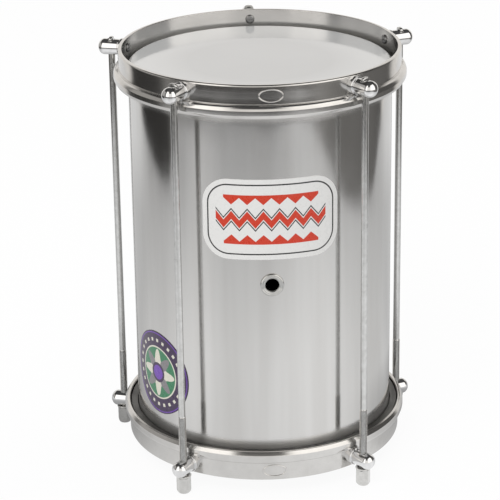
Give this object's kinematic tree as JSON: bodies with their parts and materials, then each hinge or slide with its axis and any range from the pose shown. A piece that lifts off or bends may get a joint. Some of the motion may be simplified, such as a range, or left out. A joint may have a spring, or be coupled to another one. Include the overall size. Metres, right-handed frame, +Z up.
{
  "type": "repinique",
  "caption": "Two-headed samba drum: an aluminium shell and milky film heads, drawn tight by long side rods, lug posts and tuning nuts between two counterhoops",
  "frame": {"origin": "the centre of the playing head's upper face, on the drum's axis", "axes": "+Z is up, out of the playing head, along the drum's axis; -Y is the front, with the label and the vent, between two rods; +X is to the right seen from the front"},
  "size_m": [0.2468, 0.2422, 0.3308],
  "materials": {
    "shell": "polished sheet, faint upright rolling lines",
    "hoop": "polished, turned",
    "flesh_hoop": "mill finish",
    "fittings": "bright chrome plate",
    "rods": "bright zinc plate, rolled thread",
    "nuts": "satin nickel plate",
    "film": "milky polyester film",
    "label": "printed vinyl, plain geometric bands",
    "sticker": "printed vinyl, plain rings and petals"
  },
  "bodies": {
    "shell_body": {"shell": "shell", "vent_grommet": "fittings", "vent_grommet_washer": "fittings", "shell_label": "label", "side_sticker": "sticker", "top_head_film": "film", "bottom_head_film": "film"},
    "top_hoop_body": {"top_hoop": "hoop", "top_flesh_hoop": "flesh_hoop", "top_post_1": "fittings", "top_post_2": "fittings", "top_post_3": "fittings", "top_post_4": "fittings", "top_post_5": "fittings", "top_post_screw_1": "fittings", "top_post_screw_2": "fittings", "top_post_screw_3": "fittings", "top_post_screw_4": "fittings", "top_post_screw_5": "fittings", "tension_rod_1": "rods", "tension_rod_2": "rods", "tension_rod_3": "rods", "tension_rod_4": "rods", "tension_rod_5": "rods"},
    "bottom_hoop_body": {"bottom_hoop": "hoop", "bottom_flesh_hoop": "flesh_hoop", "bottom_post_1": "fittings", "bottom_post_2": "fittings", "bottom_post_3": "fittings", "bottom_post_4": "fittings", "bottom_post_5": "fittings", "bottom_post_screw_1": "fittings", "bottom_post_screw_2": "fittings", "bottom_post_screw_3": "fittings", "bottom_post_screw_4": "fittings", "bottom_post_screw_5": "fittings", "nut_washer_1": "nuts", "nut_washer_2": "nuts", "nut_washer_3": "nuts", "nut_washer_4": "nuts", "nut_washer_5": "nuts"},
    "nut_1_body": {"tuning_nut_1": "nuts"},
    "nut_2_body": {"tuning_nut_2": "nuts"},
    "nut_3_body": {"tuning_nut_3": "nuts"},
    "nut_4_body": {"tuning_nut_4": "nuts"},
    "nut_5_body": {"tuning_nut_5": "nuts"}
  },
  "joints": [
    {"name": "top_hoop_slide", "type": "slide", "parent": "shell_body", "child": "top_hoop_body", "axis": [0, 0, 1], "range_m": [-0.0015, 0.0015]},
    {"name": "bottom_hoop_slide", "type": "slide", "parent": "shell_body", "child": "bottom_hoop_body", "axis": [0, 0, 1], "range_m": [-0.0015, 0.0015]},
    {"name": "nut_1_turn", "type": "hinge", "parent": "bottom_hoop_body", "child": "nut_1_body", "pos_m": [-0.06995, -0.09627, -0.31135], "axis": [0, 0, 1], "range_deg": [-1080, 1080]},
    {"name": "nut_2_turn", "type": "hinge", "parent": "bottom_hoop_body", "child": "nut_2_body", "pos_m": [0.06995, -0.09627, -0.31135], "axis": [0, 0, 1], "range_deg": [-1080, 1080]},
    {"name": "nut_3_turn", "type": "hinge", "parent": "bottom_hoop_body", "child": "nut_3_body", "pos_m": [0.11318, 0.03677, -0.31135], "axis": [0, 0, 1], "range_deg": [-1080, 1080]},
    {"name": "nut_4_turn", "type": "hinge", "parent": "bottom_hoop_body", "child": "nut_4_body", "pos_m": [0, 0.119, -0.31135], "axis": [0, 0, 1], "range_deg": [-1080, 1080]},
    {"name": "nut_5_turn", "type": "hinge", "parent": "bottom_hoop_body", "child": "nut_5_body", "pos_m": [-0.11318, 0.03677, -0.31135], "axis": [0, 0, 1], "range_deg": [-1080, 1080]}
  ],
  "couplings": [
    {"joint": "top_hoop_slide", "follows": "bottom_hoop_slide", "ratio": -1},
    {"joint": "nut_1_turn", "follows": "bottom_hoop_slide", "rad_per_m": 12566},
    {"joint": "nut_2_turn", "follows": "bottom_hoop_slide", "rad_per_m": 12566},
    {"joint": "nut_3_turn", "follows": "bottom_hoop_slide", "rad_per_m": 12566},
    {"joint": "nut_4_turn", "follows": "bottom_hoop_slide", "rad_per_m": 12566},
    {"joint": "nut_5_turn", "follows": "bottom_hoop_slide", "rad_per_m": 12566}
  ]
}
